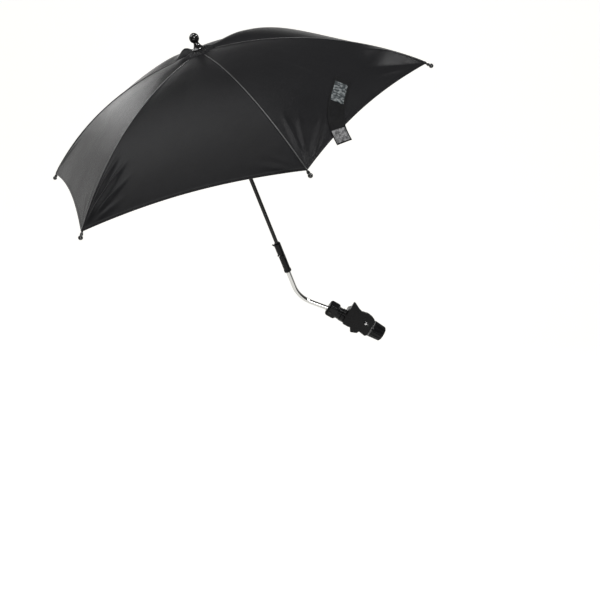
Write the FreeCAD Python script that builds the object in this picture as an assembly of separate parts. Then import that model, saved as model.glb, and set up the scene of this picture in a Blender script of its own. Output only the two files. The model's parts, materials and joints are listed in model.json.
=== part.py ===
import FreeCAD, Part
import math
import os

# A pram parasol: six folding ribs on a crown, a shaft with a tilt joint, a bent arm and a tube clamp.
# Millimetres. The origin is the middle of the clamped tube, Z is up and Y points away from the viewer.

V = FreeCAD.Vector
Placement = FreeCAD.Placement
Rotation = FreeCAD.Rotation
ORIGIN = V(0, 0, 0)
X = V(1, 0, 0)
Y = V(0, 1, 0)
Z = V(0, 0, 1)

# Fits
clearance = 0.3
seat_gap = 0.05
overrun = 5.0

# Pose of the assembly, in degrees
clamp_lean = 30.0
swivel_rest = 26.85
arm_bend = 43.5
arm_dip = 11.7
canopy_turn = 7.75

# Canopy outline
rib_count = 6
tip_radius = 390.0
rib_drop = 143.0
rib_half_turn = 18.7
cloth_thickness = 0.7
cloth_seat = 0.15
apex_radius = 5.5
cone_radius = 30.0
hem_corner_share = 0.978
hem_rise_share = 0.0415
panel_shares = (0, 1 / 6, 1 / 3, 1 / 2)

# Tie strap, placed by shares of its panel: along the rib, then across from the rib to the next
strap_shares = ((0.784, 0.565), (0.885, 0.332), (1.0, 0.234))
strap_reach_shares = (0.65, 0.86, 1.07)
strap_band_shares = (0, 1 / 3, 2 / 3, 1)
strap_rib = rib_count
strap_width = 25.0
strap_thickness = 1.2
strap_lift = 1.0

# Ribs and stretchers
rib_wire_radius = 1.25
hinge_circle_radius = 10.0
crown_wire_radius = 0.8
eye_wall = 1.5
eye_width = 2.4
lug_distance = 165.0
lug_drop = 4.5
lug_radius = 2.6
lug_width = 1.6
stretcher_radius = 1.4
fork_wall = 1.2
fork_reach = 7.0
pin_radius = 1.0
pin_head_radius = 1.7
pin_head_height = 0.7
bead_radius = 2.2
bead_width = 2.4
tip_ball_radius = 4.0
tip_sleeve_radius = 2.2
tip_sleeve_length = 8.5
tip_wall = 2.0

# Crown, washer and finial
crown_radius = 14.0
crown_half = 4.5
crown_bevel = 1.2
washer_radius = 11.0
washer_thickness = 2.8
washer_rim = 0.4
washer_wall = 0.6
finial_base_radius = 11.0
finial_base_height = 2.0
finial_neck_radius = 4.8
finial_neck_height = 11.5
finial_ball_radius = 9.0
finial_ball_height = 20.5
finial_stud = 14.0

# Shaft, runner and catch
shaft_radius = 4.0
shaft_wall = 0.8
shaft_rise = 482.3
runner_radius = 15.0
runner_half = 5.5
runner_collar_radius = 6.8
runner_length = 57.0
runner_foot_radius = 9.5
runner_foot_height = 6.0
runner_bevel = 1.0
catch_width = 1.6
catch_reach = 2.5
catch_length = 10.0
catch_travel = 2.2

# Tilt joint
tilt_radius = 7.2
tilt_base_length = 36.0
tilt_head_length = 36.0
tilt_gap = 8.5
tilt_round = 6.8
tongue_width = 5.0
tilt_pin_radius = 2.0
tilt_pin_bevel = 0.5
arm_seat = 24.0
shaft_seat = 12.0
base_collar_radius = 8.0
base_collar_length = 5.0
head_bevel = 1.5
lever_width = 4.4
lever_thickness = 3.2
lever_top_thickness = 1.2
lever_top_room = 1.4
lever_rise = 18.0
lever_shoulder = 2.0
lever_pin_radius = 0.8
nose_width = 10.4
nose_height = 2.8
nose_depth = 2.2
thumb_rise = 33.5
thumb_reach = 11.5
thumb_root = 29.0

# Arm
arm_radius = 5.0
arm_wall = 0.9
arm_bend_radius = 58.0
arm_rise = 70.9
arm_reach = 84.6
arm_root = 55.0

# Socket and swivel
socket_length = 31.0
socket_height = 31.0
socket_width = 26.0
socket_round = 6.0
socket_end_radius = 13.5
socket_end_length = 6.0
swivel_drop = 6.0
swivel_radius = 14.5
swivel_web = 7.0
tooth_count = 24
tooth_height = 0.8
tooth_width = 1.4
tooth_inner_radius = 8.0
bolt_radius = 2.5
bolt_head_radius = 4.5
bolt_head_height = 3.0
nut_radius = 4.6
nut_height = 4.0
grub_radius = 2.0
grub_head_radius = 3.0
grub_head_height = 1.2
grub_offset = 9.0

# Clamp frame and jaws
tube_radius = 10.0
pad_wall = 2.5
pad_reach = 5.5
pad_half_width = 10.5
pad_half_length = 17.0
fixed_jaw_depth = 20.0
jaw_bevel = 6.0
frame_half_width = 13.0
jaw_half_height = 20.5
spine_thickness = 7.0
lip_reach = 31.0
lip_height = 36.0
foot_height = 27.0
frame_round = 2.0
outline_shares = ((0, 1), (0.07, 0.98), (0.29, 0.87), (0.4, 0.84), (0.64, 0.89), (0.81, 0.86), (0.93, 0.81),
                  (1, 0.73), (1, 0.19), (0.93, 0.13), (0.68, 0.17), (0.64, 0.08), (0.42, 0), (0.33, 0.14),
                  (0.11, 0.13), (0, 0.21))
bridge_start = 23.5
bridge_length = 7.5
bridge_half_height = 16.0
jaw_plate = 4.5
jaw_plate_half_height = 17.0
jaw_plate_half_width = 12.0
boss_radius = 7.0
boss_height = 3.0
jaw_open = 6.0
jaw_close = 3.0

# Clamp screw, knob and rivet
screw_radius = 4.0
screw_tip_radius = 3.0
clip_radius = 4.6
clip_thickness = 0.8
knob_gap = 4.0
knob_length = 28.5
knob_radius = 19.0
knob_end_radius = 17.0
knob_bevel = 2.5
knob_skirt = 4.0
flute_count = 14
flute_radius = 2.2
flute_depth = 1.3
screw_insert = 14.0
cap_radius = 9.0
cap_thickness = 1.6
rivet_radius = 2.0
rivet_head_radius = 3.4
rivet_head_height = 2.0
rivet_height = 6.5

# Values that follow from the sizes above
eye_hole = crown_wire_radius + clearance
eye_radius = eye_hole + eye_wall
chord = math.hypot(tip_radius - hinge_circle_radius, rib_drop)
chord_slope = math.degrees(math.atan2(rib_drop, tip_radius - hinge_circle_radius))
rib_arc_radius = chord / (2 * math.sin(math.radians(rib_half_turn)))
rib_length = rib_arc_radius * math.radians(2 * rib_half_turn)
first_slope = chord_slope - rib_half_turn
cloth_offset = rib_wire_radius + cloth_seat
apex_floor = crown_half + washer_thickness
shaft_bore = shaft_radius - shaft_wall
jaw_back = tube_radius + pad_wall
frame_end = bridge_start + bridge_length
plate_back = jaw_back + jaw_plate
rivet_x = jaw_back + jaw_plate / 2
swivel_face = jaw_back + fixed_jaw_depth + swivel_web
socket_face = swivel_face + 2 * tooth_height + clearance
knob_start = frame_end + knob_gap
spine_outer = frame_half_width + spine_thickness
crown_rise = arm_rise + shaft_rise
tilt_rise = arm_rise + tilt_base_length

# Frames of the assembly
clamp_frame = Placement(ORIGIN, Rotation(Y, clamp_lean))
arm_frame = clamp_frame * Placement(V(0, 0, -swivel_drop), Rotation(X, swivel_rest))
arm_end = V(-arm_root, 0, 0)
arm_run = V(math.cos(math.radians(arm_dip)), 0, math.sin(math.radians(arm_dip)))
bend_corner = arm_end - arm_run * arm_reach
shaft_frame = arm_frame * Placement(bend_corner, Rotation(Y, arm_bend - 90))
tilt_frame = shaft_frame * Placement(V(0, 0, tilt_rise), Rotation())
crown_frame = shaft_frame * Placement(V(0, 0, crown_rise), Rotation(Z, canopy_turn))


def rib_frame(number):
    return crown_frame * Placement(ORIGIN, Rotation(Z, 360 / rib_count * (number - 1)))


def cylinder(radius, length, base, axis):
    return Part.makeCylinder(radius, length, base, axis)


def box(low, high):
    return Part.makeBox(high.x - low.x, high.y - low.y, high.z - low.z, low)


def around(shape, count, axis):
    copies = []
    for step in range(count):
        copy = shape.copy()
        copy.rotate(ORIGIN, axis, 360 / count * step)
        copies.append(copy)
    return Part.makeCompound(copies)


def revolved(edges, axis):
    return Part.Face(Part.Wire(edges)).revolve(ORIGIN, axis, 360)


def save(name, shape, frame):
    placed = shape.copy()
    placed.Placement = frame * placed.Placement
    placed.exportStep("parts/" + name + ".step")


# Ribs


def rib_slope(share):
    return first_slope + 2 * rib_half_turn * share


def rib_point(share, offset):
    first = math.radians(first_slope)
    here = math.radians(rib_slope(share))
    reach = rib_arc_radius + offset
    x = hinge_circle_radius - rib_arc_radius * math.sin(first) + reach * math.sin(here)
    z = -rib_arc_radius * math.cos(first) + reach * math.cos(here)
    return V(x, 0, z)


def rib_place(share):
    return Placement(rib_point(share, 0), Rotation(Y, rib_slope(share)))


lug_share = lug_distance / rib_length
lug_pivot = rib_place(lug_share).multVec(V(0, 0, -lug_drop))
hinge_pivot = V(hinge_circle_radius, 0, 0)
link_length = lug_pivot.distanceToPoint(hinge_pivot)
runner_pivot = V(hinge_circle_radius, 0, 2 * lug_pivot.z)


def make_rib():
    start_share = (eye_hole + eye_wall / 2) / rib_length
    end_share = 1 - (tip_wall + seat_gap) / rib_length
    start = rib_place(start_share)
    section = Part.Face(Part.Wire(Part.makeCircle(rib_wire_radius, start.Base, start.Rotation.multVec(X))))
    centre = rib_point(0, -rib_arc_radius)
    wire = section.revolve(centre, Y, rib_slope(end_share) - rib_slope(start_share))
    eye = cylinder(eye_radius, eye_width, hinge_pivot - Y * (eye_width / 2), Y)
    eye = eye.cut(cylinder(eye_hole, 2 * overrun, hinge_pivot - Y * overrun, Y))
    lug = box(V(-lug_radius, -lug_width / 2, -lug_drop), V(lug_radius, lug_width / 2, 0))
    lug = lug.fuse(cylinder(lug_radius, lug_width, V(0, -lug_width / 2, -lug_drop), Y))
    lug = lug.cut(cylinder(pin_radius + clearance, 2 * overrun, V(0, -overrun, -lug_drop), Y))
    lug.Placement = rib_place(lug_share)
    return wire.fuse(eye).fuse(lug).removeSplitter()


def make_tip():
    sleeve = cylinder(tip_sleeve_radius, tip_sleeve_length, V(-tip_sleeve_length, 0, 0), X)
    tip = sleeve.fuse(Part.makeSphere(tip_ball_radius))
    bore_length = tip_sleeve_length - tip_wall + overrun
    bore = cylinder(rib_wire_radius + clearance, bore_length, V(-tip_sleeve_length - overrun, 0, 0), X)
    tip = tip.cut(bore)
    tip.Placement = rib_place(1)
    return tip


fork_half = lug_width / 2 + clearance + fork_wall
link_turn = math.degrees(math.atan2(lug_pivot.z - runner_pivot.z, lug_pivot.x - runner_pivot.x))
link_frame = Placement(lug_pivot, Rotation(Y, 180 - link_turn))


def make_stretcher():
    wire = cylinder(stretcher_radius, link_length - fork_reach, V(fork_reach, 0, 0), X)
    fork = box(V(0, -fork_half, -lug_radius), V(fork_reach, fork_half, lug_radius))
    fork = fork.fuse(cylinder(lug_radius, 2 * fork_half, V(0, -fork_half, 0), Y))
    mouth_half = lug_width / 2 + clearance
    mouth_end = lug_radius + 2 * clearance
    mouth = box(V(-lug_radius - overrun, -mouth_half, -lug_drop), V(mouth_end, mouth_half, lug_drop))
    fork = fork.cut(mouth).cut(cylinder(pin_radius + seat_gap, 2 * overrun, V(0, -overrun, 0), Y))
    bead = cylinder(bead_radius, bead_width, V(link_length, -bead_width / 2, 0), Y)
    stretcher = wire.fuse(fork).fuse(bead).removeSplitter()
    stretcher.Placement = link_frame
    return stretcher


def make_stretcher_pin():
    pin = cylinder(pin_radius, 2 * fork_half, V(0, -fork_half, 0), Y)
    for side in (-1, 1):
        head = cylinder(pin_head_radius, pin_head_height, V(0, side * fork_half, 0), Y * side)
        pin = pin.fuse(head)
    pin.Placement = link_frame
    return pin.removeSplitter()


# Cloth


def across(near, share, side):
    far = Rotation(Z, side * 360 / rib_count).multVec(near)
    step = far - near
    return near + step * (share * (1 - clearance / step.Length))


def cloth_point(along, share, side):
    return across(rib_point(along, cloth_offset), share, side)


def hem_share(share):
    return hem_corner_share - hem_rise_share * (1 - (1 - 2 * share) ** 2)


def half_panel(side):
    cone_share = (cone_radius - hinge_circle_radius) / rib_length
    sections = []
    for share in panel_shares:
        apex = across(V(apex_radius, 0, apex_floor), share, side)
        shoulder = cloth_point(cone_share, share, side)
        middle = cloth_point((cone_share + hem_share(share)) / 2, share, side)
        hem = cloth_point(hem_share(share), share, side)
        slope = Part.makeLine(apex, shoulder)
        sections.append(Part.Wire([slope, Part.Arc(shoulder, middle, hem).toShape()]))
    return [face.extrude(Z * cloth_thickness) for face in Part.makeLoft(sections, False, False).Faces]


def make_gore():
    pieces = half_panel(1) + half_panel(-1)
    return pieces[0].multiFuse(pieces[1:])


def make_strap():
    sections = []
    for share in strap_band_shares:
        low, middle, high = [cloth_point(along, share, 1) for along in strap_reach_shares]
        sections.append(Part.Wire([Part.Arc(low, middle, high).toShape()]))
    band = Part.makeLoft(sections, False, False).Faces[0].extrude(Z * strap_thickness)
    band.translate(Z * (cloth_thickness + strap_lift))
    places = [cloth_point(along, share, 1) for along, share in strap_shares]
    places = [V(place.x, place.y, -2 * rib_drop) for place in places]
    centre = Part.Circle(*places).Center
    sides = [(place - centre).normalize() * (strap_width / 2) for place in places]
    inner = [place - side for place, side in zip(places, sides)]
    outer = [place + side for place, side in zip(places, sides)]
    edges = [Part.Arc(*inner).toShape(), Part.makeLine(inner[-1], outer[-1])]
    edges += [Part.Arc(*outer[::-1]).toShape(), Part.makeLine(outer[0], inner[0])]
    return band.common(Part.Face(Part.Wire(edges)).extrude(Z * (2 * rib_drop)))


# Crown, washer and finial


def make_crown():
    crown = cylinder(crown_radius, 2 * crown_half, V(0, 0, -crown_half), Z)
    rims = [edge for edge in crown.Edges if len(edge.Vertexes) == 1]
    crown = crown.makeChamfer(crown_bevel, rims)
    slot_half = max(eye_width / 2, rib_wire_radius) + clearance
    slot_floor = hinge_circle_radius - eye_radius - clearance
    slot = box(V(slot_floor, -slot_half, -crown_half - overrun),
               V(crown_radius + overrun, slot_half, eye_radius + clearance))
    groove_half = crown_wire_radius + seat_gap
    groove_floor = V(0, 0, -groove_half)
    groove = cylinder(crown_radius + overrun, 2 * groove_half, groove_floor, Z)
    groove = groove.cut(cylinder(hinge_circle_radius - groove_half, 2 * groove_half, groove_floor, Z))
    bore = cylinder(shaft_radius + seat_gap, 2 * crown_half + 2 * overrun, V(0, 0, -crown_half - overrun), Z)
    return crown.cut(around(slot, rib_count, Z)).cut(groove).cut(bore)


def make_crown_wire():
    corner = hinge_circle_radius / math.cos(math.pi / rib_count)
    corners = []
    for step in range(rib_count):
        angle = 2 * math.pi * (step + 1 / 2) / rib_count
        corners.append(V(corner * math.cos(angle), corner * math.sin(angle), 0))
    ring = None
    for step in range(rib_count):
        run = corners[step] - corners[step - 1]
        bar = cylinder(crown_wire_radius, run.Length, corners[step - 1], run)
        bar = bar.fuse(Part.makeSphere(crown_wire_radius, corners[step]))
        ring = bar if ring is None else ring.fuse(bar)
    return ring.removeSplitter()


def make_washer():
    washer = cylinder(washer_radius, washer_rim, V(0, 0, crown_half), Z)
    dome = washer_thickness - washer_rim - seat_gap
    brim = V(0, 0, crown_half + washer_rim)
    washer = washer.fuse(Part.makeCone(washer_radius, shaft_radius + washer_wall, dome, brim))
    return washer.cut(cylinder(shaft_radius + seat_gap, washer_thickness, V(0, 0, crown_half), Z))


def make_finial():
    floor = apex_floor + cloth_thickness
    neck = floor + finial_neck_height
    ball = floor + finial_ball_height
    rise = math.sqrt(finial_ball_radius ** 2 - finial_neck_radius ** 2)
    brim = floor + finial_base_height
    foot = V(finial_base_radius, 0, floor)
    rim = V(finial_base_radius, 0, brim)
    waist = V(finial_neck_radius, 0, neck)
    belly = V((2 * finial_base_radius + 3 * finial_neck_radius) / 5, 0, (3 * brim + 2 * neck) / 5)
    collar = V(finial_neck_radius, 0, ball - rise)
    side = V(finial_ball_radius, 0, ball)
    top = V(0, 0, ball + finial_ball_radius)
    edges = [Part.makeLine(V(0, 0, floor), foot), Part.makeLine(foot, rim)]
    edges += [Part.Arc(rim, belly, waist).toShape(), Part.makeLine(waist, collar)]
    edges += [Part.Arc(collar, side, top).toShape(), Part.makeLine(top, V(0, 0, floor))]
    stud = cylinder(shaft_bore - seat_gap, finial_stud, V(0, 0, floor), -Z)
    return revolved(edges, Z).fuse(stud).removeSplitter()


# Shaft, runner and catch, in the crown frame

shaft_top = apex_floor + cloth_thickness
shaft_foot = tilt_rise + tilt_head_length - shaft_seat - crown_rise
runner_foot = runner_pivot.z + runner_half - runner_length
catch_top = runner_foot - clearance


def make_shaft():
    shaft = cylinder(shaft_radius, shaft_top - shaft_foot, V(0, 0, shaft_foot), Z)
    shaft = shaft.cut(cylinder(shaft_bore, shaft_top - shaft_foot, V(0, 0, shaft_foot), Z))
    slot_half = catch_width / 2 + clearance
    slot = box(V(0, -slot_half, catch_top - catch_length - clearance),
               V(shaft_radius + overrun, slot_half, catch_top + clearance))
    return shaft.cut(slot)


def make_catch():
    back = catch_travel - shaft_bore + clearance
    front = shaft_radius + catch_reach
    foot = catch_top - catch_length
    points = [V(back, 0, foot), V(shaft_radius, 0, foot), V(front, 0, catch_top - catch_reach)]
    points += [V(front, 0, catch_top), V(back, 0, catch_top), V(back, 0, foot)]
    blade = Part.Face(Part.makePolygon(points)).extrude(Y * catch_width)
    blade.translate(-Y * (catch_width / 2))
    blade.rotate(ORIGIN, Z, 180 / rib_count)
    return blade


def make_runner():
    top = runner_pivot.z + runner_half
    flange = cylinder(runner_radius, 2 * runner_half, V(0, 0, top - 2 * runner_half), Z)
    slot_half = max(stretcher_radius, bead_width / 2) + clearance
    slot_floor = hinge_circle_radius - bead_radius - clearance
    slot = box(V(slot_floor, -slot_half, runner_foot - overrun),
               V(runner_radius + overrun, slot_half, top + overrun))
    flange = flange.cut(around(slot, rib_count, Z))
    collar = cylinder(runner_collar_radius, runner_length, V(0, 0, runner_foot), Z)
    foot = cylinder(runner_foot_radius, runner_foot_height, V(0, 0, runner_foot), Z)
    rims = [edge for edge in foot.Edges if len(edge.Vertexes) == 1]
    runner = collar.fuse(flange).fuse(foot.makeChamfer(runner_bevel, rims))
    bore = cylinder(shaft_radius + clearance, runner_length + 2 * overrun, V(0, 0, runner_foot - overrun), Z)
    return runner.cut(bore).removeSplitter()


# Tilt joint, in a frame whose origin is the hinge

lever_back = lever_thickness - tilt_radius
lever_top_back = lever_top_thickness - tilt_radius
lever_pivot = V(lever_thickness / 2 - tilt_radius, 0, lever_rise)


def make_tilt_base():
    body = cylinder(tilt_radius, tilt_base_length + tilt_round, V(0, 0, -tilt_base_length), Z)
    profile = box(V(-tilt_round, -tilt_radius, -tilt_gap), V(tilt_round, tilt_radius, 0))
    profile = profile.fuse(cylinder(tilt_round, 2 * tilt_radius, V(0, -tilt_radius, 0), Y))
    post = cylinder(tilt_radius, tilt_base_length - tilt_gap, V(0, 0, -tilt_base_length), Z)
    body = body.common(profile.fuse(post))
    collar = cylinder(base_collar_radius, base_collar_length, V(0, 0, -tilt_base_length), Z)
    rims = [edge for edge in collar.Edges if len(edge.Vertexes) == 1]
    body = body.fuse(collar.makeChamfer(tilt_pin_bevel, rims))
    mouth_half = tongue_width / 2 + clearance
    mouth = box(V(-tilt_radius - overrun, -mouth_half, -tilt_gap),
                V(tilt_radius + overrun, mouth_half, tilt_round + overrun))
    seat = cylinder(arm_radius + seat_gap, arm_seat, V(0, 0, -tilt_base_length), Z)
    hole = cylinder(tilt_pin_radius + seat_gap, 2 * (tilt_radius + overrun), -Y * (tilt_radius + overrun), Y)
    return body.cut(mouth).cut(seat).cut(hole).removeSplitter()


def make_tilt_head():
    tongue = cylinder(tilt_round, tongue_width, V(0, -tongue_width / 2, 0), Y)
    tongue = tongue.fuse(box(V(-tilt_round, -tongue_width / 2, 0), V(tilt_round, tongue_width / 2, tilt_gap)))
    tongue = tongue.common(cylinder(tilt_radius, 2 * tilt_gap, V(0, 0, -tilt_gap), Z))
    post = cylinder(tilt_radius, tilt_head_length - tilt_gap, V(0, 0, tilt_gap), Z)
    rims = [edge for edge in post.Edges if len(edge.Vertexes) == 1]
    top_rim = [edge for edge in rims if edge.CenterOfMass.z > tilt_head_length / 2]
    head = tongue.fuse(post.makeChamfer(head_bevel, top_rim))
    seat = cylinder(shaft_radius + seat_gap, shaft_seat, V(0, 0, tilt_head_length), -Z)
    slot_half = lever_width / 2 + clearance
    deep = box(V(-tilt_radius - overrun, -slot_half, 0),
               V(lever_back + clearance, slot_half, tilt_head_length - shaft_seat))
    shallow = box(V(-tilt_radius - overrun, -slot_half, 0),
                  V(lever_top_back + lever_top_room, slot_half, tilt_head_length + overrun))
    slot = deep.fuse(shallow)
    nose_room = box(V(-tilt_radius - overrun, -tilt_radius, 0),
                    V(-shaft_radius - seat_gap, tilt_radius, tilt_gap))
    hole = cylinder(tilt_pin_radius + clearance, 2 * overrun, V(0, -overrun, 0), Y)
    lever_hole = cylinder(lever_pin_radius + seat_gap, 2 * tilt_radius, lever_pivot - Y * tilt_radius, Y)
    return head.cut(seat).cut(slot).cut(nose_room).cut(hole).cut(lever_hole).removeSplitter()


def make_lever():
    face = -tilt_radius
    nose_top = tilt_gap - clearance
    nose_foot = nose_top - nose_height
    points = [V(face, 0, nose_top), V(face, 0, thumb_root), V(-thumb_reach, 0, thumb_rise)]
    points += [V(-thumb_reach + lever_top_thickness, 0, thumb_rise)]
    shoulder = lever_rise + lever_shoulder
    points += [V(lever_top_back, 0, thumb_root), V(lever_top_back, 0, shoulder + lever_shoulder)]
    points += [V(lever_back, 0, shoulder), V(lever_back, 0, nose_top), V(face, 0, nose_top)]
    blade = Part.Face(Part.makePolygon(points)).extrude(Y * lever_width)
    blade.translate(-Y * (lever_width / 2))
    nose = box(V(face, -nose_width / 2, nose_foot), V(face + nose_depth, nose_width / 2, nose_top))
    hole = cylinder(lever_pin_radius + clearance, 2 * overrun, lever_pivot - Y * overrun, Y)
    return blade.fuse(nose).cut(hole).removeSplitter()


def make_lever_pin():
    reach = math.sqrt(tilt_radius ** 2 - lever_pivot.x ** 2) - seat_gap
    return cylinder(lever_pin_radius, 2 * reach, lever_pivot - Y * reach, Y)


def make_tilt_pin():
    pin = cylinder(tilt_pin_radius, 2 * tilt_radius, V(0, -tilt_radius, 0), Y)
    rims = [edge for edge in pin.Edges if len(edge.Vertexes) == 1]
    return pin.makeChamfer(tilt_pin_bevel, rims)


# Arm, socket and swivel, in the arm frame


def make_arm():
    half_turn = math.radians((arm_bend + arm_dip) / 2)
    trim = arm_bend_radius * math.tan(half_turn)
    rise = V(-math.cos(math.radians(arm_bend)), 0, math.sin(math.radians(arm_bend)))
    top = bend_corner + rise * (arm_rise + arm_seat)
    bend_top = bend_corner + rise * trim
    bend_foot = bend_corner + arm_run * trim
    inward = (bend_top + bend_foot) / 2 - bend_corner
    centre = bend_corner + inward.normalize() * (arm_bend_radius / math.cos(half_turn))
    half_way = centre + (bend_corner - centre).normalize() * arm_bend_radius
    path = Part.Wire([Part.makeLine(top, bend_top), Part.Arc(bend_top, half_way, bend_foot).toShape(),
                      Part.makeLine(bend_foot, arm_end)])
    skins = []
    for radius in (arm_radius, arm_radius - arm_wall):
        ring = Part.Wire(Part.makeCircle(radius, top, -rise))
        skins.append(path.makePipeShell([ring], True, False))
    return skins[0].cut(skins[1])


grub_place = arm_end - arm_run * grub_offset


def teeth(base, rise):
    tooth = box(V(0, -tooth_width / 2, tooth_inner_radius),
                V(tooth_height, tooth_width / 2, socket_end_radius - tooth_width / 2))
    ring = around(tooth, tooth_count, X)
    if rise < 0:
        ring.rotate(ORIGIN, Z, 180)
    ring.translate(X * base)
    return ring.Solids


def make_socket():
    back = -socket_face
    body = box(V(back - socket_length, -socket_width / 2, -socket_height / 2),
               V(back - socket_end_length, socket_width / 2, socket_height / 2))
    body = body.makeFillet(socket_round, body.Edges)
    disc = cylinder(socket_end_radius, socket_end_length + socket_round, V(back, 0, 0), -X)
    body = body.fuse(disc).multiFuse(teeth(back, 1))
    seat_end = back - socket_end_length - clearance
    nut_room = cylinder(arm_radius + seat_gap, arm_root + seat_end, V(seat_end, 0, 0), -X)
    seat = cylinder(arm_radius + seat_gap, socket_length + overrun, arm_end, -arm_run)
    seat = seat.fuse(Part.makeSphere(arm_radius + seat_gap, arm_end))
    hole = cylinder(bolt_radius + clearance, socket_end_length + 2 * overrun, V(back + overrun, 0, 0), -X)
    grub = cylinder(grub_radius + seat_gap, socket_width, grub_place, -Y)
    return body.cut(nut_room.fuse(seat)).cut(hole).cut(grub).removeSplitter()


def make_nut():
    seat_end = -socket_face - socket_end_length - clearance
    corners = []
    for step in range(7):
        angle = math.pi / 3 * step
        corners.append(V(seat_end, nut_radius * math.cos(angle), nut_radius * math.sin(angle)))
    nut = Part.Face(Part.makePolygon(corners)).extrude(-X * nut_height)
    return nut.cut(cylinder(bolt_radius + clearance, 2 * nut_height, V(seat_end + nut_height / 2, 0, 0), -X))


def make_grub():
    reach = socket_width / 2 - arm_radius
    grub = cylinder(grub_radius, reach, grub_place - Y * (arm_radius + seat_gap), -Y)
    head_base = grub_place - Y * (socket_width / 2 + seat_gap)
    head = cylinder(grub_head_radius, grub_head_height, head_base, -Y)
    return grub.fuse(head).removeSplitter()


def make_bolt():
    head_start = -jaw_back - seat_gap
    head = cylinder(bolt_head_radius, bolt_head_height, V(head_start, 0, 0), -X)
    reach = socket_face + socket_end_length + nut_height - jaw_back
    return head.fuse(cylinder(bolt_radius, reach, V(head_start, 0, 0), -X)).removeSplitter()


# Clamp, in the clamp frame


def make_frame():
    length = lip_reach + frame_end
    height = lip_height + foot_height
    points = [V(-lip_reach + length * x, -spine_outer, -foot_height + height * z) for x, z in outline_shares]
    spine = Part.Face(Part.makePolygon(points + points[:1])).extrude(Y * spine_thickness)
    corners = [edge for edge in spine.Edges if abs(edge.tangentAt(edge.FirstParameter).y) > abs(Y.y) / 2]
    spine = spine.makeFillet(frame_round, corners)
    back = -jaw_back - fixed_jaw_depth
    half = jaw_half_height
    points = [V(-jaw_back, 0, half), V(back + jaw_bevel, 0, half), V(back, 0, half - jaw_bevel)]
    points += [V(back, 0, jaw_bevel - half), V(back + jaw_bevel, 0, -half), V(-jaw_back, 0, -half)]
    jaw = Part.Face(Part.makePolygon(points + points[:1])).extrude(Y * (2 * frame_half_width))
    jaw.translate(-Y * frame_half_width)
    ends = [edge for edge in jaw.Edges if edge.CenterOfMass.y > frame_half_width / 2
            and edge.CenterOfMass.x < -jaw_back - frame_round]
    jaw = jaw.makeFillet(frame_round, ends)
    bridge = box(V(bridge_start, -frame_half_width, -bridge_half_height),
                 V(frame_end, frame_half_width, bridge_half_height))
    ends = [edge for edge in bridge.Edges if edge.CenterOfMass.y > frame_half_width / 2
            and abs(edge.CenterOfMass.z) > bridge_half_height / 2]
    bridge = bridge.makeFillet(frame_round, ends)
    drum = cylinder(swivel_radius, swivel_web + jaw_bevel, V(back + jaw_bevel, 0, 0), -X)
    drum = drum.multiFuse(teeth(-swivel_face, -1))
    drum.translate(-Z * swivel_drop)
    frame = spine.fuse(jaw).fuse(bridge).fuse(drum)
    bridge_front = V(bridge_start - overrun, 0, 0)
    thread = cylinder(screw_radius + clearance, bridge_length + 2 * overrun, bridge_front, X)
    pocket = cylinder(boss_radius + clearance, boss_height + clearance + overrun, bridge_front, X)
    bolt_base = V(-jaw_back + overrun, 0, -swivel_drop)
    head_room = cylinder(bolt_head_radius + seat_gap, bolt_head_height + seat_gap + overrun, bolt_base, -X)
    bolt_hole = cylinder(bolt_radius + seat_gap, socket_face + overrun, bolt_base, -X)
    slot_half = rivet_radius + clearance
    slot = box(V(rivet_x - jaw_close, -spine_outer - overrun, rivet_height - slot_half),
               V(rivet_x + jaw_open, -frame_half_width + overrun, rivet_height + slot_half))
    for x in (rivet_x - jaw_close, rivet_x + jaw_open):
        end = V(x, -spine_outer - overrun, rivet_height)
        slot = slot.fuse(cylinder(slot_half, spine_thickness + 2 * overrun, end, Y))
    return frame.cut(thread).cut(pocket).cut(head_room).cut(bolt_hole).cut(slot).removeSplitter()


def make_pad(side):
    low = V(pad_reach, -pad_half_width, -pad_half_length)
    pad = box(low, V(jaw_back, pad_half_width, pad_half_length))
    pad = pad.cut(cylinder(tube_radius, 2 * pad_half_length, V(0, 0, -pad_half_length), Z))
    if side < 0:
        pad.rotate(ORIGIN, Z, 180)
    return pad


def make_moving_jaw():
    plate = box(V(jaw_back, -jaw_plate_half_width, -jaw_plate_half_height),
                V(plate_back, jaw_plate_half_width, jaw_plate_half_height))
    ends = [edge for edge in plate.Edges if abs(edge.tangentAt(edge.FirstParameter).x) > abs(X.x) / 2]
    plate = plate.makeFillet(frame_round, ends)
    plate = plate.fuse(cylinder(boss_radius, boss_height, V(plate_back, 0, 0), X))
    hole = cylinder(screw_tip_radius + clearance, jaw_plate + boss_height + overrun, V(jaw_back, 0, 0), X)
    room = cylinder(clip_radius + clearance, clip_thickness + 2 * clearance, V(jaw_back, 0, 0), X)
    rivet = cylinder(rivet_radius + seat_gap, jaw_plate_half_width, V(rivet_x, -overrun, rivet_height), -Y)
    return plate.cut(hole).cut(room).cut(rivet).removeSplitter()


def make_rivet():
    head_start = -spine_outer - clearance
    shank_length = spine_outer + clearance - overrun - seat_gap
    shank = cylinder(rivet_radius, shank_length, V(rivet_x, head_start, rivet_height), Y)
    dome = (rivet_head_radius ** 2 + rivet_head_height ** 2) / (2 * rivet_head_height)
    head = Part.makeSphere(dome, V(rivet_x, head_start + dome - rivet_head_height, rivet_height))
    head = head.common(cylinder(dome, rivet_head_height, V(rivet_x, head_start, rivet_height), -Y))
    return shank.fuse(head).removeSplitter()


def make_screw():
    tip_start = jaw_back + clearance
    collar_start = plate_back + boss_height + clearance
    tip = cylinder(screw_tip_radius, collar_start - tip_start, V(tip_start, 0, 0), X)
    thread = cylinder(screw_radius, knob_start + screw_insert - collar_start, V(collar_start, 0, 0), X)
    return tip.fuse(thread).removeSplitter()


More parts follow.
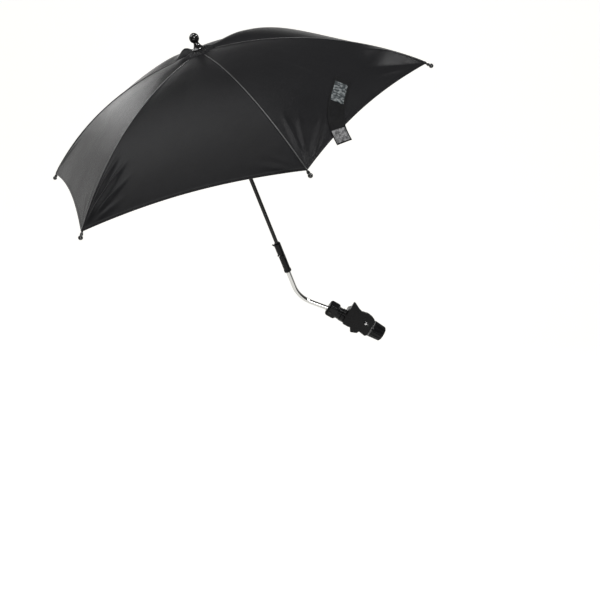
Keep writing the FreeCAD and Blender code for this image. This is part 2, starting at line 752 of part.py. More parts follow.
def make_clip():
    start = V(jaw_back + clearance, 0, 0)
    clip = cylinder(clip_radius, clip_thickness, start, X)
    return clip.cut(cylinder(screw_tip_radius + seat_gap, clip_thickness, start, X))


def make_knob():
    rim = V(0, knob_radius, 0)
    skirt = V(knob_skirt, knob_radius, 0)
    far = V(knob_length - knob_bevel, knob_end_radius, 0)
    end = V(knob_length, knob_end_radius - knob_bevel, 0)
    points = [ORIGIN, rim, skirt, far, end, V(knob_length, 0, 0)]
    edges = [Part.makeLine(a, b) for a, b in zip(points, points[1:] + points[:1])]
    knob = revolved(edges, X)
    run = far - skirt
    lift = flute_radius - flute_depth
    flute = cylinder(flute_radius, run.Length + overrun, skirt + Y * lift, run)
    flute = flute.fuse(Part.makeSphere(flute_radius, skirt + Y * lift))
    knob = knob.cut(around(flute, flute_count, X))
    knob = knob.cut(cylinder(screw_radius + seat_gap, screw_insert + seat_gap, ORIGIN, X))
    knob = knob.cut(cylinder(cap_radius + seat_gap, cap_thickness, V(knob_length - cap_thickness, 0, 0), X))
    knob.translate(X * knob_start)
    return knob


def make_cap():
    face = knob_start + knob_length
    return cylinder(cap_radius, cap_thickness - seat_gap, V(face, 0, 0), -X)


os.makedirs("parts", exist_ok=True)

rib = make_rib()
tip = make_tip()
stretcher = make_stretcher()
stretcher_pin = make_stretcher_pin()
gore = make_gore()
for number in range(1, rib_count + 1):
    frame = rib_frame(number)
    save("rib_%d" % number, rib, frame)
    save("rib_tip_%d" % number, tip, frame)
    save("stretcher_%d" % number, stretcher, frame)
    save("stretcher_pin_%d" % number, stretcher_pin, frame)
    save("canopy_gore_%d" % number, gore, frame)
save("tie_strap", make_strap(), rib_frame(strap_rib))

save("crown", make_crown(), crown_frame)
save("crown_wire", make_crown_wire(), crown_frame)
save("canopy_washer", make_washer(), crown_frame)
save("finial", make_finial(), crown_frame)
save("shaft", make_shaft(), crown_frame * Placement(ORIGIN, Rotation(Z, 180 / rib_count)))
save("runner", make_runner(), crown_frame)
save("runner_catch", make_catch(), crown_frame)

save("tilt_base", make_tilt_base(), tilt_frame)
save("tilt_head", make_tilt_head(), tilt_frame)
save("tilt_pin", make_tilt_pin(), tilt_frame)
save("tilt_lever", make_lever(), tilt_frame)
save("lever_pin", make_lever_pin(), tilt_frame)

save("arm_tube", make_arm(), arm_frame)
save("arm_socket", make_socket(), arm_frame)
save("socket_screw", make_grub(), arm_frame)
save("swivel_nut", make_nut(), arm_frame)
save("swivel_bolt", make_bolt(), clamp_frame * Placement(V(0, 0, -swivel_drop), Rotation()))

save("clamp_frame", make_frame(), clamp_frame)
save("fixed_pad", make_pad(-1), clamp_frame)
save("moving_jaw", make_moving_jaw(), clamp_frame)
save("moving_pad", make_pad(1), clamp_frame)
save("guide_rivet", make_rivet(), clamp_frame)
save("clamp_screw", make_screw(), clamp_frame)
save("screw_clip", make_clip(), clamp_frame)
save("clamp_knob", make_knob(), clamp_frame)
save("knob_cap", make_cap(), clamp_frame)
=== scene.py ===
import json
import math

import bpy
import numpy as np
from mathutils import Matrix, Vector


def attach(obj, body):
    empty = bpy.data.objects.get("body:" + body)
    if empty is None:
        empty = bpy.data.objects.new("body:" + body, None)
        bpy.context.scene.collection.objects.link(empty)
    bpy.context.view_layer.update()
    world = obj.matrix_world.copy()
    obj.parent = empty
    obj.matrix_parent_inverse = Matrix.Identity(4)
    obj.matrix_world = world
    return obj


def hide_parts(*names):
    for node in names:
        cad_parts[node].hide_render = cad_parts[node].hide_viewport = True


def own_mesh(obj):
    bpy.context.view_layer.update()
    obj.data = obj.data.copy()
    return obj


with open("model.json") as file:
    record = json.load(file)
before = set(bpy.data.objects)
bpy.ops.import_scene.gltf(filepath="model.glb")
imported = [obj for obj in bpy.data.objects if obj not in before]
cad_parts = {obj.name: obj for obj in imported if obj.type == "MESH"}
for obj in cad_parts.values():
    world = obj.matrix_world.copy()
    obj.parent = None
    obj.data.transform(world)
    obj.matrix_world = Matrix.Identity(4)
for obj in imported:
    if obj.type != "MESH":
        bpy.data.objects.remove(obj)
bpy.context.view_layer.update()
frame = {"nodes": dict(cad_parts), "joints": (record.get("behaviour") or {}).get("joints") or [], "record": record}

# A pram parasol: the cover, its trim and the finishes. Metres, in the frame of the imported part.

# Ribs, as the part has them
tip_radius = 0.390
rib_drop = 0.143
rib_half_turn = math.radians(18.7)
hinge_circle_radius = 0.010
rib_wire_radius = 0.00125

# Cover
cloth_thickness = 0.0005
cloth_gap = 0.0002
hem_corner_share = 0.978
hem_rise_share = 0.0415
shoulder_radius = 0.030
collar_radius = 0.0105
apex_radius = 0.0055
apex_height = 0.0077
hem_width = 0.006
hem_edge = 0.0006
hem_fold_height = 0.0004
welt_radius = 0.0010
welt_rise = 0.0003

# Slack of a panel: height, and how far from the hem it starts and is full; and the panels that differ
panel_bulge = (0.0035, 0.0, 0.15)
panel_bulges = {0: (0.0125, 0.07, 0.27), 2: (0.0070, 0.0, 0.15)}
# Length below the crown over which the slack grows, and how far it leans outwards
slack_fade = 0.12
slack_lean_share = 0.3

# Gathers round the apex, and panels that puff up beside it: height, radius and reach
gathers_per_panel = 3
gather_rise = 0.0007
gather_radius = 0.020
gather_reach = 0.010
apex_puffs = {2: (0.0100, 0.036, 0.015), 3: (0.0030, 0.036, 0.014)}

# Pull folds at the cover's corners, by rib and side: degrees from the rib, start, end, height and width
pull_folds = {
    (6, 1): ((13, 0.020, 0.110, 0.0034, 0.0042), (25, 0.025, 0.105, 0.0037, 0.0042),
             (44, 0.025, 0.125, 0.0034, 0.0046)),
    (6, -1): ((30, 0.020, 0.075, 0.0008, 0.0040), (46, 0.015, 0.090, 0.0010, 0.0045)),
    (5, 1): ((8, 0.045, 0.140, 0.0038, 0.0036), (17, 0.025, 0.130, 0.0050, 0.0040),
             (28, 0.040, 0.110, 0.0036, 0.0035), (41, 0.030, 0.085, 0.0016, 0.0045)),
    (5, -1): ((12, 0.020, 0.090, 0.0007, 0.0050), (34, 0.020, 0.080, 0.0006, 0.0050)),
    (4, 1): ((12, 0.015, 0.120, 0.0018, 0.0050), (30, 0.020, 0.080, 0.0006, 0.0050)),
    (1, -1): ((45, 0.055, 0.120, 0.0014, 0.0040),),
}
# Pull folds of the other corners
plain_folds = ((12, 0.020, 0.110, 0.0013, 0.0050), (29, 0.025, 0.090, 0.0010, 0.0050),
               (46, 0.020, 0.100, 0.0011, 0.0050))
# Shelf folds, which fall evenly to both sides: degrees, start, end, slope, and reach as a share of the run
shelf_folds = {(1, -1): (13, 0.008, 0.120, 0.32, 0.40)}
shelf_least_run = 0.00028
# How far before and after its start and its end a fold fades
fold_fade_in = (0.015, 0.030)
fold_fade_out = (0.050, 0.020)
# Share of the rib over which its direction at a corner is taken
corner_run_share = 0.1

# Tie strap: its path over the last panel by shares along the ribs and across, and its layers
strap_path = ((0.775, 0.582), (0.807, 0.489), (0.877, 0.343),
              (0.918, 0.290), (0.966, 0.256), (1.010, 0.237))
strap_path_degree = 3
strap_roll = math.radians(45)
strap_roll_shares = (0.55, 0.86)
strap_width = 0.0225
strap_thickness = 0.0012
strap_gap = 0.0004
hook_shares = (0.10, 0.42)
hook_width = 0.0180
hook_thickness = 0.0011
patch_shares = (0.860, 0.992)
patch_width = 0.0195
patch_thickness = 0.0009
patch_inset = 0.0030
# A layer's long edges: where across its half width they start to round off, and how much they lose
layer_edge_share = 0.8
layer_edge_loss_share = 0.5

# Threads that tie the cover to the ribs
thread_radius = 0.00028
tie_shares = (0.27, 0.62)
tie_turns = 3
corner_tie_share = 0.986
corner_tie_radius = 0.0025

# Grids: columns from a rib to mid panel, rows from the hem to the apex, and steps of a thread's turn
half_columns = 44
column_power = 1.7
hem_rows = (0, 0.0006, 0.0018, 0.0034, 0.0050, 0.0058, 0.0064, 0.0075, 0.0100)
body_rows = 92
collar_rows = 12
welt_first_row = 2
welt_rows = slice(welt_first_row, len(hem_rows) + body_rows)
thread_steps = 16

# Camera
camera_place = Vector((-0.1270, -1.5640, 0.4247))
camera_pitch = math.radians(13.6)
camera_lens = 44.13
camera_sensor = 36.0

# Stage: a floor and a backdrop with a bend between them, and their levels
floor_height = -0.60
stage_half_width = 2.2
stage_front = -3.2
stage_back = 3.0
stage_bend = 1.2
stage_bend_steps = 12
stage_top = 1.5
stage_white = (1.0, 0.995, 0.97, 1.0)
stage_glow = 0.84
stage_matt = (0.42, 0.415, 0.40, 1.0)
# Reflections of the stage: its sides dim over this distance from the middle, except towards the back
stage_side_fade = (0.9, 1.5)
stage_side_level = 0.05
stage_back_fade = (1.2, 2.2)

# Studio round the stage: its level as light, and in reflections, which dim overhead and in front
studio_white = (1.0, 0.995, 0.98, 1.0)
studio_light = 0.2
studio_overhead_fade = (0.3, 0.65)
studio_overhead_level = 0.08
studio_front_fade = (-0.1, 0.4)
studio_levels = (0.06, 0.75)

# Lamps: place, target, size and watts
lamps = {
    "side_softbox": ((-1.9, -0.5, 2.1), (-0.3, -0.15, 0.4), (1.6, 1.6), 23),
    "back_softbox": ((-2.0, 2.1, 1.58), (-0.35, -0.1, 0.4), (0.8, 0.5), 5.5),
    "top_softbox": ((-0.5, -0.45, 2.6), (-0.2, -0.25, 0.4), (0.5, 0.5), 12),
    "right_softbox": ((1.45, -0.75, 2.4), (-0.05, -0.2, 0.4), (0.4, 0.4), 23),
    "front_fill": ((0.3, -3.0, 1.3), (-0.1, -0.1, 0.1), (1.0, 1.0), 34),
}

joints = {joint["name"]: joint for joint in frame["joints"]}
rib_count = sum(name.startswith("rib_fold_") for name in joints)
rib_numbers = range(1, rib_count + 1)
sector = 2 * math.pi / rib_count
strap_panel = rib_count - 1


def slot_colour(slot):
    """The colour that the record gives a material slot."""
    for material in frame["record"]["materials"]:
        if material["slot"] == slot:
            return tuple(material["base_color"])
    raise KeyError(slot)


# Node helpers


def connect(tree, node, inputs):
    """Links or sets a node's inputs."""
    for name, value in inputs.items():
        if isinstance(value, bpy.types.NodeSocket):
            tree.links.new(value, node.inputs[name])
        else:
            node.inputs[name].default_value = value


def add(tree, kind, inputs, **settings):
    made = tree.nodes.new(kind)
    for name, value in settings.items():
        setattr(made, name, value)
    connect(tree, made, inputs)
    return made


def calc(tree, operation, first, second=0.0):
    return add(tree, "ShaderNodeMath", {0: first, 1: second}, operation=operation).outputs[0]


def remap(tree, value, low, high, new_low, new_high):
    inputs = {"Value": value, "From Min": low, "From Max": high, "To Min": new_low, "To Max": new_high}
    return add(tree, "ShaderNodeMapRange", inputs).outputs["Result"]


def blend_colours(tree, share, first, second):
    mix = add(tree, "ShaderNodeMix", {"Factor": share}, data_type="RGBA")
    for name, colour in (("A", first), ("B", second)):
        socket = next(s for s in mix.inputs if s.name == name and s.type == "RGBA")
        socket.default_value = (*colour, 1.0)
    return next(s for s in mix.outputs if s.type == "RGBA")


def noise(tree, place, scale, detail=3.0):
    inputs = {"Vector": place, "Scale": scale, "Detail": detail}
    return add(tree, "ShaderNodeTexNoise", inputs).outputs["Fac"]


def wave(tree, value, pitch):
    return calc(tree, "SINE", calc(tree, "MULTIPLY", value, 2 * math.pi / pitch))


def relief(tree, *layers):
    """Bumped normals from layers of a height and its size in metres."""
    total = 0.0
    for height, size in layers:
        total = calc(tree, "ADD", calc(tree, "MULTIPLY", height, size), total)
    bump = add(tree, "ShaderNodeBump", {"Height": total, "Distance": 1.0, "Strength": 1.0})
    return bump.outputs["Normal"]


def object_place(tree):
    return add(tree, "ShaderNodeTexCoord", {}).outputs["Object"]


def flat_place(tree):
    """Places on the flat cloth, in metres: across and along."""
    flat = add(tree, "ShaderNodeUVMap", {}, uv_map="flat").outputs["UV"]
    split = add(tree, "ShaderNodeSeparateXYZ", {"Vector": flat})
    return split.outputs["X"], split.outputs["Y"]


def stitch_line(tree, distance, line, run, half=0.0003, pitch=0.0030, dash_share=0.7):
    """One where a stitch lies: dashes along run, at a distance from an edge."""
    near = calc(tree, "LESS_THAN", calc(tree, "ABSOLUTE", calc(tree, "SUBTRACT", distance, line)), half)
    dash = calc(tree, "LESS_THAN", calc(tree, "FRACT", calc(tree, "DIVIDE", run, pitch)), dash_share)
    return calc(tree, "MULTIPLY", near, dash)


def reflected(tree):
    """Light Path's outputs, and one for a ray that comes by a reflection or through glass."""
    rays = add(tree, "ShaderNodeLightPath", {}).outputs
    return rays, calc(tree, "MAXIMUM", rays["Is Glossy Ray"], rays["Is Transmission Ray"])


# Materials

cloud_range = (0.3, 0.7)
wave_range = (-1.0, 1.0)


def start_material(name):
    material = bpy.data.materials.new(name)
    material.use_nodes = True
    return material, material.node_tree, material.node_tree.nodes["Principled BSDF"]


def shades(colour, spread):
    return [tuple(channel * factor for channel in colour) for factor in (1 - spread, 1 + spread)]


def surface(name, colour, rough, spread=0.25, cloud=60.0, grain=1500.0, depth=0.00002, **constants):
    """A hard finish: clouds in its colour and roughness, and a fine grain."""
    material, tree, shader = start_material(name)
    place = object_place(tree)
    clouds = noise(tree, place, cloud)
    connect(tree, shader, {
        "Base Color": blend_colours(tree, clouds, *shades(colour, spread)),
        "Roughness": remap(tree, clouds, *cloud_range, *rough),
        "Normal": relief(tree, (noise(tree, place, grain, detail=2.0), depth)),
    })
    connect(tree, shader, {socket.replace("_", " "): value for socket, value in constants.items()})
    return material


def cloth_material():
    """Black polyester: a plain weave, clouds in its sheen, and rows of stitches along seams and hems."""
    roughness = (0.28, 0.36)
    weave_pitch = 0.0005
    weave_depth = 0.00002
    seam_stitches = 0.0026
    hem_stitches = 0.0046
    stitch_depth = 0.0002
    stitch_roughness = 0.1
    crumple_depth = 0.0004
    material, tree, shader = start_material("cover_cloth")
    wide, long = flat_place(tree)
    weave = calc(tree, "MULTIPLY", wave(tree, wide, weave_pitch), wave(tree, long, weave_pitch))
    seams = stitch_line(tree, calc(tree, "ABSOLUTE", wide), seam_stitches, long)
    sewn = calc(tree, "MAXIMUM", seams, stitch_line(tree, long, hem_stitches, wide))
    place = object_place(tree)
    clouds = noise(tree, place, scale=9.0)
    crumple = noise(tree, place, scale=38.0, detail=2.0)
    rough = remap(tree, clouds, *cloud_range, *roughness)
    connect(tree, shader, {
        "Base Color": blend_colours(tree, clouds, *shades(slot_colour("cloth"), spread=0.15)),
        "Roughness": calc(tree, "ADD", rough, calc(tree, "MULTIPLY", sewn, stitch_roughness)),
        "Normal": relief(tree, (weave, weave_depth), (sewn, stitch_depth), (crumple, crumple_depth)),
        "Specular IOR Level": 0.10,
    })
    return material


def webbing_material():
    """Black woven tape: ribs across it, and a twill that slants to both sides."""
    colours = ((0.004, 0.004, 0.004), (0.010, 0.010, 0.011))
    roughness = (0.45, 0.7)
    rib_pitch = 0.0016
    rib_depth = 0.00010
    twill_pitch = 0.0011
    twill_depth = 0.00006
    material, tree, shader = start_material("strap_webbing")
    wide, long = flat_place(tree)
    ribs = wave(tree, long, rib_pitch)
    twill = wave(tree, calc(tree, "ADD", calc(tree, "ABSOLUTE", wide), long), twill_pitch)
    clouds = noise(tree, object_place(tree), scale=90.0)
    connect(tree, shader, {
        "Base Color": blend_colours(tree, clouds, *colours),
        "Roughness": remap(tree, twill, *wave_range, *roughness),
        "Normal": relief(tree, (ribs, rib_depth), (twill, twill_depth)),
        "Specular IOR Level": 0.12,
    })
    return material


def hook_material():
    """Grey hook tape: rows of small hooks, and pale specks painted into its colour as highlights where the hooks
    catch the light, which also bump it.
    """
    colours = ((0.020, 0.028, 0.031), (0.24, 0.26, 0.265))
    roughness = (0.55, 0.8)
    hook_pitch = 0.0018
    hook_depth = 0.00025
    painted_glint_range = (0.46, 0.66)
    speck_depth = 0.0002
    material, tree, shader = start_material("strap_hook_tape")
    wide, long = flat_place(tree)
    rows = calc(tree, "MULTIPLY", wave(tree, wide, hook_pitch), wave(tree, long, hook_pitch))
    clouds = noise(tree, object_place(tree), scale=210.0, detail=2.0)
    # Pale specks painted into the tape's colour as highlights where the hooks catch the light
    painted_glint_specks = remap(tree, clouds, *painted_glint_range, 0.0, 1.0)
    connect(tree, shader, {
        "Base Color": blend_colours(tree, painted_glint_specks, *colours),
        "Roughness": remap(tree, rows, *wave_range, *roughness),
        "Normal": relief(tree, (rows, hook_depth), (painted_glint_specks, speck_depth)),
    })
    return material


def patch_stitches(tree, wide, long):
    """One on the patch's stitches: a box, and a cross in it."""
    box_half_stitch = 0.0004
    cross_half_stitch = 0.0005
    half = patch_width / 2 - patch_inset
    aside = calc(tree, "ABSOLUTE", wide)
    beyond = calc(tree, "ABSOLUTE", calc(tree, "SUBTRACT", long, patch_width / 2))
    sides = stitch_line(tree, aside, half, long, box_half_stitch)
    ends = stitch_line(tree, beyond, half, wide, box_half_stitch)
    cross = stitch_line(tree, calc(tree, "SUBTRACT", aside, beyond), 0.0, long, cross_half_stitch)
    lines = calc(tree, "MAXIMUM", calc(tree, "MAXIMUM", sides, ends), cross)
    inside = calc(tree, "LESS_THAN", calc(tree, "MAXIMUM", aside, beyond), half + box_half_stitch)
    return calc(tree, "MULTIPLY", lines, inside)


def patch_material():
    """Worn grey fabric of the strap's end patch, with the stitches that hold it."""
    colours = ((0.025, 0.025, 0.027), (0.33, 0.33, 0.335))
    roughness = (0.6, 0.8)
    weave_pitch = 0.0012
    weave_depth = 0.00006
    stitch_depth = 0.0003
    stitch_paleness = 0.5
    wear_range = (0.38, 0.66)
    wear = (0.1, 0.8)
    material, tree, shader = start_material("strap_end_patch")
    wide, long = flat_place(tree)
    weave = calc(tree, "MULTIPLY", wave(tree, wide, weave_pitch), wave(tree, long, weave_pitch))
    sewn = patch_stitches(tree, wide, long)
    worn = remap(tree, noise(tree, object_place(tree), scale=200.0), *wear_range, *wear)
    pale = calc(tree, "ADD", worn, calc(tree, "MULTIPLY", sewn, stitch_paleness))
    connect(tree, shader, {
        "Base Color": blend_colours(tree, pale, *colours),
        "Roughness": remap(tree, weave, *wave_range, *roughness),
        "Normal": relief(tree, (weave, weave_depth), (sewn, stitch_depth)),
    })
    return material


finishes = {
    "cloth": cloth_material(),
    "black_steel": surface("black_lacquer", slot_colour("black_steel"), rough=(0.20, 0.30),
                           Specular_IOR_Level=0.3),
    "gloss_black": surface("glossy_black", slot_colour("gloss_black"), rough=(0.04, 0.07),
                           depth=0.000005, Specular_IOR_Level=0.8),
    "matt_black": surface("moulded_black", (0.008, 0.008, 0.0085), rough=(0.20, 0.30), spread=0.2,
                          depth=0.00004, Specular_IOR_Level=0.16),
    "pad_rubber": surface("soft_rubber", slot_colour("pad_rubber"), rough=(0.70, 0.85), depth=0.00006),
    "chrome": surface("bright_chrome", (0.56, 0.56, 0.55), rough=(0.04, 0.10), spread=0.03,
                      depth=0.000002, Metallic=1.0),
    "steel": surface("zinc_steel", slot_colour("steel"), rough=(0.25, 0.40), spread=0.10,
                     depth=0.00001, Metallic=1.0),
}
welt_finish = surface("seam_welt", (0.035, 0.035, 0.036), rough=(0.30, 0.42), grain=3000.0,
                      depth=0.00004, Specular_IOR_Level=1.0)
thread_finish = surface("thread", slot_colour("cloth"), rough=(0.6, 0.8), grain=4000.0, depth=0.00005)


def finish_nodes():
    for subpart in frame["record"]["subparts"]:
        node = frame["nodes"][subpart["node"]]
        node.data.materials.clear()
        node.data.materials.append(finishes[subpart["material_slot"]])


# Form of the cover, in the crown's frame


def crown_axes():
    """The crown's centre, and a matrix of its axes: along the first rib, across it, and up the shaft."""
    up = -np.array(joints["runner_slide"]["axis"])
    hinges = np.array([joints["rib_fold_%d" % number]["pos_m"] for number in rib_numbers])
    across = np.array(joints["rib_fold_1"]["axis"])
    return hinges.mean(axis=0), np.column_stack([np.cross(across, up), across, up])


crown_centre, crown_turn = crown_axes()
chord = math.hypot(tip_radius - hinge_circle_radius, rib_drop)
rib_arc_radius = chord / (2 * math.sin(rib_half_turn))
rib_length = rib_arc_radius * 2 * rib_half_turn
first_slope = math.atan2(rib_drop, tip_radius - hinge_circle_radius) - rib_half_turn
cloth_offset = rib_wire_radius + cloth_gap + cloth_thickness


def to_world(points):
    return points @ crown_turn.T + crown_centre


def smooth(low, high, value):
    share = np.clip((value - low) / (high - low), 0, 1)
    return share * share * (3 - 2 * share)


def bell(value, centre, reach):
    return np.exp(-((value - centre) / reach) ** 2)


def rib_profile(share, offset):
    """Radius and height of a point above the rib's middle line, at a share of the rib's length."""
    slope = first_slope + 2 * rib_half_turn * share
    reach = rib_arc_radius + offset
    radius = hinge_circle_radius - rib_arc_radius * math.sin(first_slope) + reach * np.sin(slope)
    height = -rib_arc_radius * math.cos(first_slope) + reach * np.cos(slope)
    return radius, height


def hem_share(across):
    """Share of the rib's length at which the hem lies, which rises between the ribs."""
    return hem_corner_share - hem_rise_share * (1 - (1 - 2 * across) ** 2)


def panel_point(panel, across, radius, height):
    """A point of a panel: on the straight line from one rib to the next."""
    near, far = panel * sector, (panel + 1) * sector
    x = radius * ((1 - across) * math.cos(near) + across * math.cos(far))
    y = radius * ((1 - across) * math.sin(near) + across * math.sin(far))
    return np.stack(np.broadcast_arrays(x, y, height), axis=-1)


def panel_columns():
    """Shares across a panel, closer together near its ribs."""
    half = 0.5 * (np.arange(half_columns + 1) / half_columns) ** column_power
    return np.concatenate([half, 1 - half[-2:0:-1]])


def collar_profile(radius, height):
    """Radius, height and run of the rows that rise from the shoulder, the last row given, to the collar."""
    steps = np.arange(1, collar_rows + 1)[:, None] / collar_rows
    run = collar_radius - radius[-1]
    slope = (height[-1] - height[-2]) / (radius[-1] - radius[-2])
    ease = 3 * steps ** 2 - 2 * steps ** 3
    rise = (1 - ease) * height[-1] + ease * apex_height
    rise = rise + (steps ** 3 - 2 * steps ** 2 + steps) * slope * run
    return radius[-1] + run * steps, rise, steps * abs(run)


def panel_profile(across):
    """Radius, height and distance from the hem, for every row of the columns given."""
    shoulder_share = (shoulder_radius - hinge_circle_radius) / rib_length
    hem = hem_share(across)
    hem_shares = np.array([hem - row / rib_length for row in hem_rows])
    steps = np.arange(1, body_rows + 1)[:, None] / body_rows
    shares = np.vstack([hem_shares, hem_shares[-1] + (shoulder_share - hem_shares[-1]) * steps])
    radius, height = rib_profile(shares, cloth_offset)
    distance = (hem - shares) * rib_length
    collar, rise, run = collar_profile(radius, height)
    apex = np.ones((1, len(across)))
    radius = np.vstack([radius, collar, apex * apex_radius])
    height = np.vstack([height, rise, apex * apex_height])
    run = np.vstack([run, run[-1:] + collar_radius - apex_radius])
    return radius, height, np.vstack([distance, distance[-1] + run])


def fold_line(x, y, angle, start, end):
    """Places along and beside the line of a fold from a corner, and how far the fold has grown there."""
    turn = math.radians(angle)
    run = x * math.sin(turn) + y * math.cos(turn)
    aside = x * math.cos(turn) - y * math.sin(turn)
    grown = smooth(start - fold_fade_in[0], start + fold_fade_in[1], run)
    gone = smooth(end - fold_fade_out[0], end + fold_fade_out[1], run)
    return run, aside, grown * (1 - gone)


def pull_fold(x, y, angle, start, end, rise, width):
    """Height of a round fold."""
    _, aside, grown = fold_line(x, y, angle, start, end)
    return rise * grown * bell(aside, 0, width)


def shelf_fold(x, y, angle, start, end, slope, reach):
    """Height of a fold that falls evenly to the rib on one side, and over its reach on the other."""
    run, aside, grown = fold_line(x, y, angle, start, end)
    run = np.maximum(run, shelf_least_run)
    to_rib = run * math.tan(math.radians(angle))
    profile = np.where(aside < 0, 1 + aside / to_rib, 1 - aside / (reach * run))
    return slope * reach * run * grown * np.clip(profile, 0, 1)


def corner_places(points, panel, at_rib):
    """Places of a panel's points from one of its corners: out from the rib, and along it."""
    corner = panel_point(panel, at_rib, *rib_profile(hem_corner_share, cloth_offset))
    inner = panel_point(panel, at_rib, *rib_profile(hem_corner_share - corner_run_share, cloth_offset))
    other = panel_point(panel, 1 - at_rib, *rib_profile(hem_corner_share, cloth_offset))
    along = (inner - corner) / np.linalg.norm(inner - corner)
    out = other - corner
    out = out - along * out.dot(along)
    out = out / np.linalg.norm(out)
    reach = points - corner
    return reach @ out, reach @ along


def fold_height(points, panel):
    """Height of a panel's folds, which run from its two corners."""
    total = np.zeros(points.shape[:2])
    for side, at_rib in ((1, 0), (-1, 1)):
        x, y = corner_places(points, panel, at_rib)
        corner = ((panel + at_rib) % rib_count + 1, side)
        for fold in pull_folds.get(corner, plain_folds):
            total = total + pull_fold(x, y, *fold)
        if corner in shelf_folds:
            total = total + shelf_fold(x, y, *shelf_folds[corner])
    return total


def drape(panel, across, radius, height, distance):
    """Points of a panel with its slack, gathers and puffs, and the height of the folds on them."""
    points = panel_point(panel, across, radius, height)
    bow = 1 - (1 - 2 * across) ** 2
    bulge, start, full = panel_bulges.get(panel, panel_bulge)
    slack = bulge * bow * smooth(0, slack_fade, rib_length - distance) * smooth(start, full, distance)
    if panel in apex_puffs:
        rise, place, reach = apex_puffs[panel]
        slack = slack + bow * rise * bell(radius, place, reach)
    waves = np.sin(math.pi * gathers_per_panel * across) ** 2
    slack = slack + gather_rise * waves * bell(radius, gather_radius, gather_reach)
    middle = (panel + 0.5) * sector
    lean = np.array((slack_lean_share * math.cos(middle), slack_lean_share * math.sin(middle), 1.0))
    return points + lean * slack[..., None], fold_height(points, panel)


def full_cover():
    """Points of the cover in columns all the way round, heights of its folds, and distances from the hem."""
    columns = panel_columns()
    radius, height, distance = panel_profile(columns)
    panels = [drape(panel, columns, radius, height, distance) for panel in range(rib_count)]
    points = np.concatenate([panel[0] for panel in panels], axis=1)
    folds = np.concatenate([panel[1] for panel in panels], axis=1)
    return points, folds, np.tile(distance, (1, rib_count))


def grid_normals(points, closed):
    """Upward normals of a grid of points; a closed grid goes all the way round."""
    along = np.gradient(points, axis=0)
    if closed:
        across = np.roll(points, -1, axis=1) - np.roll(points, 1, axis=1)
    else:
        across = np.gradient(points, axis=1)
    normal = np.cross(along, across)
    normal = normal / np.linalg.norm(normal, axis=-1, keepdims=True)
    return normal if normal[..., 2].mean() > 0 else -normal


# Meshes and pieces


def shell_mesh(name, top, bottom, normals, flat):
    """A closed thin sheet from two grids of points, smooth over each face and sharp at its edges."""
    rows, columns = top.shape[:2]
    count = rows * columns
    index = np.arange(count).reshape(rows, columns)
    quads = np.stack([index[:-1, :-1], index[:-1, 1:], index[1:, 1:], index[1:, :-1]], axis=-1)
    quads = quads.reshape(-1, 4)
    faces = [quads, quads[:, ::-1] + count]
    for edge in (index[0], index[:, -1], index[-1, ::-1], index[::-1, 0]):
        faces.append(np.stack([edge[:-1], edge[:-1] + count, edge[1:] + count, edge[1:]], axis=-1))
    faces = np.concatenate(faces)
    points = np.concatenate([top.reshape(-1, 3), bottom.reshape(-1, 3)])
    normals = normals.reshape(-1, 3)
    # The top's faces look the way of its normals
    first = points[faces[0]]
    if np.cross(first[1] - first[0], first[2] - first[1]) @ normals[faces[0][0]] < 0:
        faces = faces[:, ::-1]
    mesh = bpy.data.meshes.new(name)
    mesh.from_pydata(points.tolist(), [], faces.tolist())
    corner = np.array([loop.vertex_index for loop in mesh.loops])
    flat_corners = np.concatenate([flat.reshape(-1, 2)] * 2)[corner]
    mesh.uv_layers.new(name="flat").data.foreach_set("uv", flat_corners.ravel())
    shading = np.concatenate([normals, -normals])[corner]
    # The faces after the two sheets are the rim, which is flat
    for polygon in mesh.polygons[2 * len(quads):]:
        shading[polygon.loop_start:polygon.loop_start + polygon.loop_total] = polygon.normal
    mesh.shade_smooth()
    mesh.normals_split_custom_set(shading.tolist())
    return mesh


def tube_mesh(name, path, radius, sides=8):
    """A closed round tube along a path of points."""
    run = np.gradient(path, axis=0)
    run = run / np.linalg.norm(run, axis=1, keepdims=True)
    # A direction square to the path is carried along it without twist
    frames = [np.cross(run[0], (run[0][1], run[0][2], -run[0][0]))]
    for direction in run[1:]:
        frames.append(frames[-1] - direction * frames[-1].dot(direction))
    first = np.array(frames) / np.linalg.norm(frames, axis=1, keepdims=True)
    second = np.cross(run, first)
    angles = np.arange(sides) * 2 * math.pi / sides
    ring = first[:, None] * np.cos(angles)[:, None] + second[:, None] * np.sin(angles)[:, None]
    points = (path[:, None] + radius * ring).reshape(-1, 3)
    index = np.arange(len(points)).reshape(-1, sides)
    turned = np.roll(index, -1, axis=1)
    walls = np.stack([index[:-1], turned[:-1], turned[1:], index[1:]], axis=-1).reshape(-1, 4)
    faces = walls.tolist() + [index[0, ::-1].tolist(), index[-1].tolist()]
    mesh = bpy.data.meshes.new(name)
    mesh.from_pydata(points.tolist(), [], faces)
    mesh.shade_smooth()
    return mesh


def place_piece(name, mesh, material):
    piece = bpy.data.objects.new(name, mesh)
    bpy.context.scene.collection.objects.link(piece)
    piece.data.materials.append(material)
    return piece


def fold_with_rib(piece, number):
    """The piece rides on a rib, with its own copy of its mesh."""
    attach(piece, "rib_%d" % number)
    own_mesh(piece)


# Cover


def flat_widths(points):
    """Places of the cover's points across the flat cloth, from the nearest rib and with its side as sign."""
    columns = np.tile(panel_columns(), rib_count)
    side = np.where(columns <= 0.5, 1, -1)
    chord_width = np.linalg.norm(points[..., :2], axis=-1) * 2 * math.sin(sector / 2)
    return np.minimum(columns, 1 - columns) * chord_width * side


def build_welt(number, seam):
    name = "seam_welt_%d" % number
    piece = place_piece(name, tube_mesh(name, to_world(seam), welt_radius), welt_finish)
    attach(piece, "rib_%d" % number)


